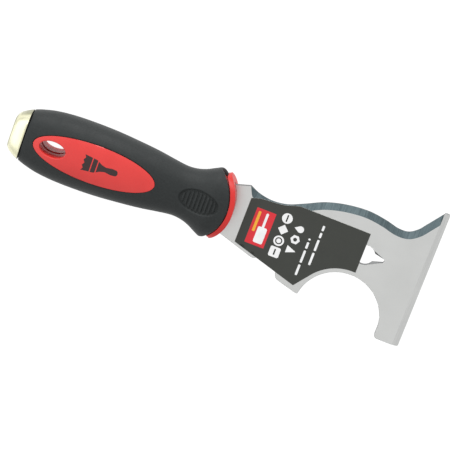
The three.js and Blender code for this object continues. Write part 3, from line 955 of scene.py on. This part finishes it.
def make_blade():
    loops = [
        with_corners(blade_outline(), 0.6),
        in_blade_frame(keyhole()),
        ring(*HANG_HOLE, TANG_HOLE_GAP, 0.4),
        ring(PIN_X, PIN_R + GAP, PIN_R + GAP, 0, 0.3),
        *[ring(x, RIVET_R + GAP, RIVET_R + GAP, 0, 0.3) for x in RIVET_XS],
    ]
    points = [edge_rings(loops), in_piece(hex_grid((4, -35), (206, 36), 1.3), loops, 0.9)]
    top = Sheet(loops, [with_corners(line, 0.6, closed=False) for line in crease_lines()], points)
    bottom = Sheet(loops, (), points)
    top_gap, bottom_gap = (edge_gap(sheet, loops) for sheet in (top, bottom))
    body = Body()
    upper = body.add(at_height(top.flat, PLATE / 2 - drop_of(top.flat, top_gap)))
    lower = body.add(at_height(bottom.flat, -PLATE / 2 + fillet(bottom_gap, EDGE_ROUND)))
    body.cover(upper[top.faces], blade_slots(top, top_gap))
    at_rim = bottom_gap[bottom.faces].mean(1) < EDGE_ROUND
    body.cover(lower[bottom.faces], np.where(at_rim, SHEARED_SHADE_SLOT, STEEL_SLOT))
    # The side walls take the dull sheared steel, darkened further as painted shade.
    for rim, low in zip(top.rims, bottom.rims):
        body.cover(bridge([upper[rim], lower[low]]), SHEARED_SHADE_SLOT)
    materials = [STEEL, GROUND_PAINTED_REFLECTION, SHEARED_AND_SHADED, CHISEL_PAINTED_SHADE]
    body.build("steel_blade", ["blade"], materials, sharp=21)


def edge_gap(sheet, loops):
    """Distance from each of a sheet's points to the nearest outline or hole."""
    nearest = np.full(len(sheet.flat), FAR)
    for loop in loops:
        nearest = np.minimum(nearest, distance(sheet.flat, loop)[0])
    return nearest


def blade_slots(sheet, gaps):
    """Material slots on the front: plain, the ground edge (painted reflection), the scraper edge's bevel and
    the cut rims (painted shade).
    """
    own = to_blade_frame(sheet.middles())
    gap, share = distance(own, ground_edge(), closed=False)
    ground = (gap < ground_width(share)) & (own[:, 0] < TIP_LAND_X) & (own[:, 0] > GROUND_START)
    # The scraper edge's bevel gets a darker steel, a painted shade, besides its cross grinding.
    slots = np.where(own[:, 0] > EDGE_X - CHISEL_WIDTH, CHISEL_SHADE_SLOT, STEEL_SLOT)
    # The ground edge's dark steel is a painted reflection of dim surroundings.
    slots[ground] = GROUND_REFLECTION_SLOT
    # The keyhole slot's bevels and the cut rims take the sheared steel with painted shade.
    for side in slot_sides():
        gap, share = distance(own, side, closed=False)
        slots[gap < SLOT_BEVEL_WIDTH * (1 - share)] = SHEARED_SHADE_SLOT
    slots[(gaps[sheet.faces].mean(1) < EDGE_ROUND) & (slots == STEEL_SLOT)] = SHEARED_SHADE_SLOT
    return slots


# ---- label

def label_outline():
    x, y, radius = ROLLER
    radius += 1.85
    side = [(31.2, 13.4), (28.5, 12.6), (24, 11.2), (18.4, 10.6), (13, 10.1), (LABEL_LEFT, 8.8)]
    return with_corners(joined([
        [(LABEL_LEFT, -13.5), (41.4, -23.1)],
        arc(x, y, radius, 143, 90, 50),
        [(LABEL_RIGHT, y + radius), (LABEL_RIGHT, 13.2), side[0]],
        spline(side, 8)[1:],
    ]), 0.8)


def bar(x0, x1, y0, y1, corner=0.35):
    """A rounded bar between two corners."""
    centres = [(x1 - corner, y1 - corner, 0), (x0 + corner, y1 - corner, 90),
               (x0 + corner, y0 + corner, 180), (x1 - corner, y0 + corner, 270)]
    return np.concatenate([arc(x, y, corner, start, start + 90, 5) for x, y, start in centres])


def disc(radius):
    return ring(0, radius, radius, spacing=0.16)


def make_signs():
    """Plain signs of half size 1, each a list of outlines with their slots."""
    return {
        "tile": [(bar(-1, 1, -1, 1, 0.3), WHITE), (bar(-0.15, 0.15, -0.6, 0.6, 0.1), BLACK)],
        "target": [(disc(1), WHITE), (disc(0.68), BLACK), (disc(0.45), WHITE)],
        "diamond": [(np.array([(-1, 0), (0, -1), (1, 0), (0, 1)]), WHITE)],
        "slotted disc": [(disc(1), WHITE), (bar(-0.14, 0.14, -0.7, 0.7, 0.1), BLACK)],
        "triangle": [(np.array([(-1, -0.8), (1, 0), (-1, 0.8)]), WHITE)],
        "nut": [(arc(0, 0, 1, 0, 300, 5), WHITE), (disc(0.4), BLACK)],
        "drop": [(np.vstack([arc(0.3, 0, 0.7, -120, 120, 23), [(-1, 0)]]), WHITE)],
    }


def label_print():
    """The label's printed shapes, each an outline and its slot, later ones on top."""
    # Red patch: a small paint roller under a yellow stripe.
    shapes = [
        (bar(12.9, 22.3, -11.8, 5.8, 0.2), RED_PRINT),
        (bar(14.2, 15.5, -5.6, 4.4), YELLOW),
        (bar(16.4, 20.9, -10.4, -2.4, 0.8), WHITE),
        (bar(18.0, 19.2, -2.6, 0.6, 0.1), WHITE),
        (bar(18.0, 19.2, -0.4, 4.6, 0.5), WHITE),
    ]
    # Two rows of large plain signs.
    signs = make_signs()
    for x, half, row in (
        (27.7, 2.5, {"tile": -11.3, "target": -5.6, "diamond": 0.1, "slotted disc": 5.8}),
        (34.6, 2.3, {"triangle": -7.8, "nut": -2.3, "drop": 3.1}),
    ):
        for name, y in row.items():
            shapes += [(outline * half + (x, y), slot) for outline, slot in signs[name]]
    # Two rows of dashes in the place of small print.
    for x, dashes in (
        (40.8, [(-18.0, -12.6), (-11.6, -5.4), (-4.4, -1.2), (-0.2, 0.7)]),
        (44.9, [(-11.2, -5.0), (-4.0, 1.6), (2.6, 5.2), (6.2, 8.8)]),
    ):
        shapes += [(bar(x - 0.55, x + 0.55, low, high, 0.4), WHITE) for low, high in dashes]
    return shapes


def make_label():
    outline = label_outline()
    shapes = label_print()
    lines = [np.vstack([shape, shape[:1]]) for shape, _ in shapes]
    grid = hex_grid((LABEL_LEFT, -24), (LABEL_RIGHT, 14), 1.6)
    sheet = Sheet([outline], lines, [in_piece(grid, [outline], 0.8)])
    middles = sheet.middles()
    slots = np.full(len(sheet.faces), BLACK)
    for shape, slot in shapes:
        slots[inside(middles, shape)] = slot
    flat = in_blade_frame(sheet.flat)
    body = Body()
    top = body.add(at_height(flat, (LABEL_HIGH.z - BUTT.z) / MM))
    low = body.add(at_height(flat, (LABEL_LOW.z - BUTT.z) / MM))
    body.cover(top[sheet.faces], slots)
    body.cover(low[sheet.faces], BACKING)
    body.cover(bridge([top[sheet.rims[0]], low[sheet.rims[0]]]), BACKING)
    materials = [LABEL_BLACK, LABEL_RED, LABEL_WHITE, LABEL_YELLOW, LABEL_BACKING]
    body.build("printed_label", ["label"], materials, sharp=30)


# ---- materials

class Nodes:
    """A material's node tree with short calls to fill it."""

    def __init__(self, name, metallic=0.0, specular=0.5, color=(0.5, 0.5, 0.5), roughness=0.5):
        self.material = bpy.data.materials.new(name)
        self.material.use_nodes = True
        self.tree = self.material.node_tree
        self.shader = self.tree.nodes["Principled BSDF"]
        self.fix("Base Color", (*color, 1))
        self.fix("Roughness", roughness)
        self.fix("Metallic", metallic)
        self.fix("Specular IOR Level", specular)

    def fix(self, name, value):
        self.shader.inputs[name].default_value = value

    def add(self, kind, **values):
        node = self.tree.nodes.new(kind)
        for key, value in values.items():
            if key in node.inputs:
                node.inputs[key].default_value = value
            else:
                setattr(node, key, value)
        return node

    def link(self, start, end):
        self.tree.links.new(start, end)

    def place(self, scale=(1, 1, 1)):
        """Stretched object coordinates."""
        coords = self.add("ShaderNodeTexCoord")
        mapping = self.add("ShaderNodeMapping", Scale=scale)
        self.link(coords.outputs["Object"], mapping.inputs["Vector"])
        return mapping.outputs["Vector"]

    def noise(self, place, scale, detail=4.0, roughness=0.55):
        node = self.add("ShaderNodeTexNoise", Scale=scale, Detail=detail, Roughness=roughness)
        self.link(place, node.inputs["Vector"])
        return node.outputs["Fac"]

    def math(self, operation, *values):
        node = self.add("ShaderNodeMath", operation=operation)
        for value, socket in zip(values, node.inputs):
            self.link(value, socket)
        return node.outputs["Value"]

    def spread(self, value, start, end, low=0.0, high=1.0, kind="LINEAR"):
        """A value's range from start to end, stretched over another range."""
        node = self.add("ShaderNodeMapRange", interpolation_type=kind)
        for name, number in (("From Min", start), ("From Max", end), ("To Min", low), ("To Max", high)):
            node.inputs[name].default_value = number
        self.link(value, node.inputs["Value"])
        return node.outputs["Result"]

    def between(self, value, low, high):
        """A value from noise, spread over a range."""
        return self.spread(value, 0.3, 0.7, low, high)

    def mix(self, share, second):
        """Blends another colour into the base colour."""
        node = self.add("ShaderNodeMix", data_type="RGBA")
        first_in, second_in = (socket for socket in node.inputs if socket.type == "RGBA")
        base = self.shader.inputs["Base Color"]
        first_in.default_value = base.default_value
        if base.links:
            self.link(base.links[0].from_socket, first_in)
        second_in.default_value = (*second, 1)
        self.link(share, node.inputs["Factor"])
        self.link(next(out for out in node.outputs if out.type == "RGBA"), base)

    def tint(self, first, second, *noises):
        """Base colour that varies between two colours with a noise, or with several together."""
        share, *others = [self.between(noise, 0, 1 / len(noises)) for noise in noises]
        for other in others:
            share = self.math("ADD", share, other)
        self.fix("Base Color", (*first, 1))
        self.mix(share, second)

    def paint_side_shade(self, color, start, end):
        """Painted shade: a darker colour on the faces that look along X or Y, the cap's end face and its
        flanks.
        """
        coords = self.add("ShaderNodeTexCoord")
        parts = self.add("ShaderNodeSeparateXYZ")
        self.link(coords.outputs["Normal"], parts.inputs["Vector"])
        sides = [self.math("ABSOLUTE", parts.outputs[axis]) for axis in ("X", "Y")]
        self.mix(self.spread(self.math("MAXIMUM", *sides), start, end, kind="SMOOTHSTEP"), color)

    def bump(self, height, strength, depth):
        node = self.add("ShaderNodeBump", Strength=strength, Distance=depth)
        self.link(height, node.inputs["Height"])
        before = self.shader.inputs["Normal"].links
        if before:
            self.link(before[0].from_socket, node.inputs["Normal"])
        self.link(node.outputs["Normal"], self.shader.inputs["Normal"])

    def rough(self, value, low, high):
        self.link(self.between(value, low, high), self.shader.inputs["Roughness"])


def brushed_metal(name, stretch, cloud_scale, colours, roughness, relief):
    """Metal with faint streaks and a slow change of colour."""
    m = Nodes(name, metallic=1.0)
    streaks = m.noise(m.place(stretch), 3.0, 3.0)
    m.tint(*colours, m.noise(m.place(), cloud_scale, 3.0))
    m.rough(streaks, *roughness)
    m.bump(streaks, *relief)
    return m


def cut_steel(name, metallic, stretch, colours, roughness):
    """Steel with fine lines left by grinding or shearing, in darkened colours that carry painted shade and
    reflection.
    """
    m = Nodes(name, metallic)
    lines = m.noise(m.place(stretch), 2.0, 2.0)
    m.tint(*colours, lines)
    m.rough(lines, *roughness)
    m.bump(lines, 0.2, 0.00002)
    return m.material


def red_plastic(name, shade=1.0, specular=0.5):
    m = Nodes(name, specular=specular)
    cloud = m.noise(m.place(), 60.0, 3.0)
    grain = m.noise(m.place(), 2500.0, 2.0)
    m.tint(*[[shade * c for c in red] for red in ((0.62, 0.034, 0.031), (0.68, 0.042, 0.037))], cloud)
    m.rough(cloud, 0.32, 0.42)
    m.bump(grain, 0.08, 0.00003)
    return m.material


def black_rubber():
    m = Nodes("black_rubber", specular=0.32)
    cloud = m.noise(m.place(), 70.0, 4.0)
    pebble = m.add("ShaderNodeTexVoronoi", Scale=1500.0)
    m.link(m.place(), pebble.inputs["Vector"])
    speck = m.noise(m.place(), 900.0, 2.0, 0.7)
    m.tint((0.010, 0.0128, 0.0130), (0.021, 0.0245, 0.0245), cloud, speck)
    m.rough(cloud, 0.55, 0.7)
    m.bump(pebble.outputs["Distance"], 0.25, 0.00006)
    m.bump(m.noise(m.place(), 400.0, 3.0), 0.1, 0.0001)
    m.fix("Sheen Weight", 0.08)
    return m.material


def pale_brass():
    colours = [(0.90, 0.88, 0.66), (0.84, 0.82, 0.58)]
    m = brushed_metal("pale_brass", (200, 30, 30), 90.0, colours, (0.28, 0.4), (0.1, 0.00003))
    # Painted shade: the cap's end face and flanks are darkened towards olive.
    m.paint_side_shade((0.30, 0.30, 0.18), 0.66, 0.95)
    return m.material


def printed(name, color, roughness=0.4):
    """Ink or vinyl with a faint unevenness; also the cap's back, painted dark as shade in the seam beside
    the grip.
    """
    m = Nodes(name)
    cloud = m.noise(m.place(), 220.0, 4.0)
    m.tint(color, [c * 0.88 for c in color], cloud)
    m.rough(cloud, roughness - 0.06, roughness + 0.08)
    m.bump(cloud, 0.05, 0.00004)
    return m.material


def plain_steel():
    m = Nodes("fastener_steel", metallic=1.0)
    cloud = m.noise(m.place(), 500.0, 3.0)
    m.rough(cloud, 0.35, 0.55)
    m.bump(cloud, 0.1, 0.00003)
    return m.material


STEEL = brushed_metal("satin_steel", (30, 900, 200), 35.0,
                      [(0.765, 0.772, 0.76), (0.705, 0.713, 0.70)], (0.28, 0.42), (0.12, 0.00002)).material
# Painted reflection: the ground edge is dark blue-grey, as if it reflected dim surroundings.
GROUND_PAINTED_REFLECTION = cut_steel("ground_steel_painted_reflection", 1.0, (1400, 60, 60),
                   [(0.090, 0.122, 0.134), (0.135, 0.175, 0.186)], (0.3, 0.5))
# Dull sheared steel, darkened beyond its own colour as painted shade on side walls, cut rims and slot
# bevels.
SHEARED_AND_SHADED = cut_steel("sheared_steel_painted_shade", 0.7, (700, 700, 60),
                    [(0.13, 0.135, 0.135), (0.2, 0.205, 0.205)], (0.42, 0.6))
# Cross-ground steel, darker than the face as a painted shade on the scraper edge's bevel.
CHISEL_PAINTED_SHADE = cut_steel("chisel_steel_painted_shade", 1.0, (900, 30, 30),
                   [(0.63, 0.637, 0.627), (0.71, 0.717, 0.705)], (0.34, 0.5))
RED = red_plastic("red_plastic")
COLLAR_RED = red_plastic("collar_red", 0.86, 0.2)
# Painted shade: a darker red for the hang hole's walls and the core's other side walls.
BORE_SHADED_RED = red_plastic("bore_red_painted_shade", 0.9, 0.1)
INK = printed("black_pad_print", (0.03, 0.012, 0.012), 0.45)
RUBBER = black_rubber()
BRASS = pale_brass()
# Painted shade: the cap's rear rings and neck, dark like the shadow in the seam beside the grip.
CAP_SEAM_SHADE = printed("cap_seam_painted_shade", (0.02, 0.018, 0.012), 0.7)
LABEL_BLACK = printed("label_black", (0.032, 0.035, 0.029))
LABEL_RED = printed("label_red", (0.66, 0.018, 0.03))
LABEL_WHITE = printed("label_white", (0.85, 0.86, 0.86))
LABEL_YELLOW = printed("label_yellow", (0.85, 0.42, 0.03))
LABEL_BACKING = printed("label_backing", (0.5, 0.5, 0.48), 0.6)
FASTENER = plain_steel()


# ---- camera, floor and light, in metres

TILT = math.radians(14)  # the camera leans this far from straight above, towards the blade's point
ROLL = math.radians(20.06)  # the handle falls this much to the right in the picture
AIM = BUTT + Vector((107.66, -8.2, -0.1)) * MM
WIDTH_SEEN = 0.20925
DISTANCE = 1.4
SENSOR = 36
FLOOR_HALF = 3.0
FLOOR_GLOW = 0.98
WORLD_LIGHT = 0.79



def make_camera():
    data = bpy.data.cameras.new("camera")
    data.sensor_width = SENSOR
    data.lens = SENSOR * DISTANCE / WIDTH_SEEN
    data.clip_end = 20
    camera = add_object("camera", data)
    back = Vector((0, math.sin(TILT), math.cos(TILT)))
    level = Vector((0, math.cos(TILT), -math.sin(TILT)))
    right = Vector((math.cos(ROLL), 0, 0)) + level * math.sin(ROLL)
    up = back.cross(right)
    turn = Matrix((right, up, back)).transposed().to_4x4()
    camera.matrix_world = Matrix.Translation(AIM + back * DISTANCE) @ turn
    bpy.context.scene.camera = camera


def make_floor():
    mesh = bpy.data.meshes.new("floor")
    corners = [(x * FLOOR_HALF, y * FLOOR_HALF, 0) for x, y in ((-1, -1), (1, -1), (1, 1), (-1, 1))]
    mesh.from_pydata(corners, [], [(0, 1, 2, 3)])
    floor = add_object("floor", mesh)
    m = Nodes("floor_white", specular=0.0, color=(0.1, 0.1, 0.1), roughness=0.9)
    m.fix("Emission Color", (1, 1, 1, 1))
    m.fix("Emission Strength", FLOOR_GLOW)
    mesh.materials.append(m.material)


def make_light(name, place, size, power):
    """A soft rectangular light that points at the tool."""
    data = bpy.data.lights.new(name, "AREA")
    data.shape = "RECTANGLE"
    data.size, data.size_y = size
    data.energy = power
    light = add_object(name, data)
    light.location = place
    light.rotation_euler = Vector(place).to_track_quat("Z", "Y").to_euler()


def make_world():
    world = bpy.data.worlds.new("studio")
    bpy.context.scene.world = world
    world.use_nodes = True
    background = world.node_tree.nodes["Background"]
    background.inputs["Color"].default_value = (1, 1, 1, 1)
    background.inputs["Strength"].default_value = WORLD_LIGHT


make_camera()
make_floor()
make_world()
make_light("key", place=(-0.2, 0.9, 0.38), size=(0.7, 0.4), power=7)
make_light("butt_side", place=(-0.72, -0.02, 0.72), size=(1.0, 0.7), power=1.95)
bpy.context.scene.view_settings.view_transform = "Standard"

make_blade()
make_core(True)
make_core(False)
make_grip()
make_collar()
make_cap()
make_label()
for name in ("cap_cross_pin", "tang_rivet_rear", "tang_rivet_front"):
    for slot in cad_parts[name].material_slots:
        slot.material = FASTENER
